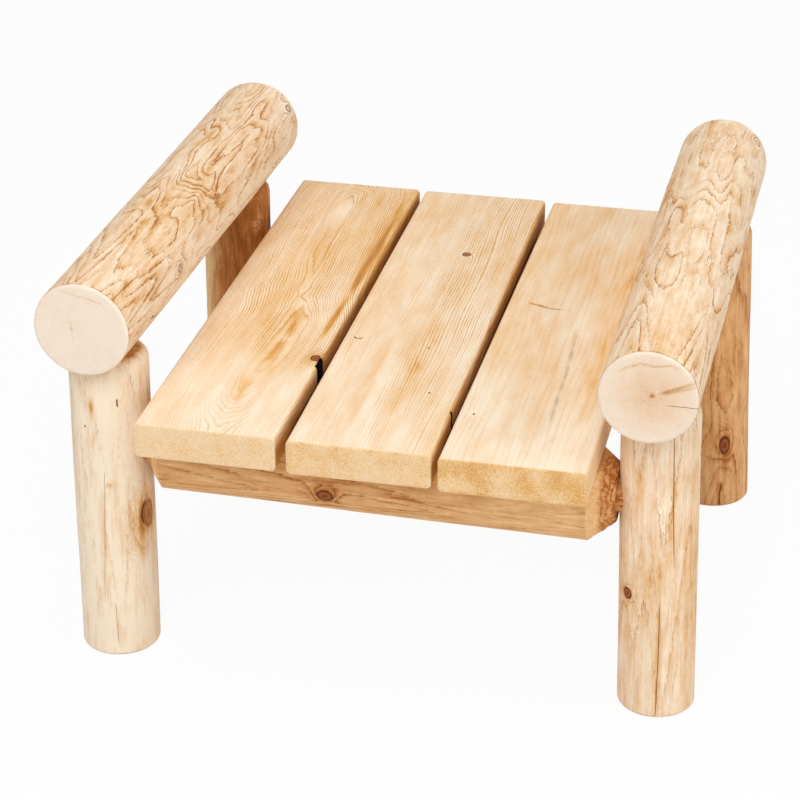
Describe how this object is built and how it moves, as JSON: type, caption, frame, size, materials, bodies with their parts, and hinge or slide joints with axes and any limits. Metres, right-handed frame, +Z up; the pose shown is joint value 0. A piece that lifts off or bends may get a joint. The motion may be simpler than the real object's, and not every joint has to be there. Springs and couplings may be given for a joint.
{
  "type": "log ottoman",
  "caption": "Low rustic ottoman of peeled logs: coped legs carry arm logs along both sides, and a slatted board seat rests on pencil-pointed cross rails between them.",
  "frame": {"origin": "on the floor under the middle of the ottoman's outer box", "axes": "+X to the right as seen from the front, -Y towards the front, +Z up; the arm logs and seat boards run along Y"},
  "size_m": [0.6462, 0.6244, 0.4243],
  "materials": {
    "leg_log": "peeled log, unfinished softwood with knots and drying checks",
    "arm_log": "peeled log, unfinished softwood with drawn-knife growth lines",
    "rail_log": "peeled log, darker, with sawn pencil-point ends",
    "seat_board": "planed softwood board with eased edges",
    "dowel": "turned hardwood dowel",
    "screw": "zinc plated"
  },
  "bodies": {
    "root": {"leg_front_left": "leg_log", "leg_front_right": "leg_log", "leg_back_left": "leg_log", "leg_back_right": "leg_log", "arm_log_left": "arm_log", "arm_log_right": "arm_log", "cross_rail_front": "rail_log", "cross_rail_back": "rail_log", "seat_board_left": "seat_board", "seat_board_middle": "seat_board", "seat_board_right": "seat_board", "arm_dowel_front_left": "dowel", "arm_dowel_front_right": "dowel", "arm_dowel_back_left": "dowel", "arm_dowel_back_right": "dowel", "seat_screw_front_1": "screw", "seat_screw_front_2": "screw", "seat_screw_front_3": "screw", "seat_screw_front_4": "screw", "seat_screw_front_5": "screw", "seat_screw_front_6": "screw", "seat_screw_back_1": "screw", "seat_screw_back_2": "screw", "seat_screw_back_3": "screw", "seat_screw_back_4": "screw", "seat_screw_back_5": "screw", "seat_screw_back_6": "screw", "tenon_screw_front_left": "screw", "tenon_screw_front_right": "screw", "tenon_screw_back_left": "screw", "tenon_screw_back_right": "screw"}
  },
  "joints": []
}
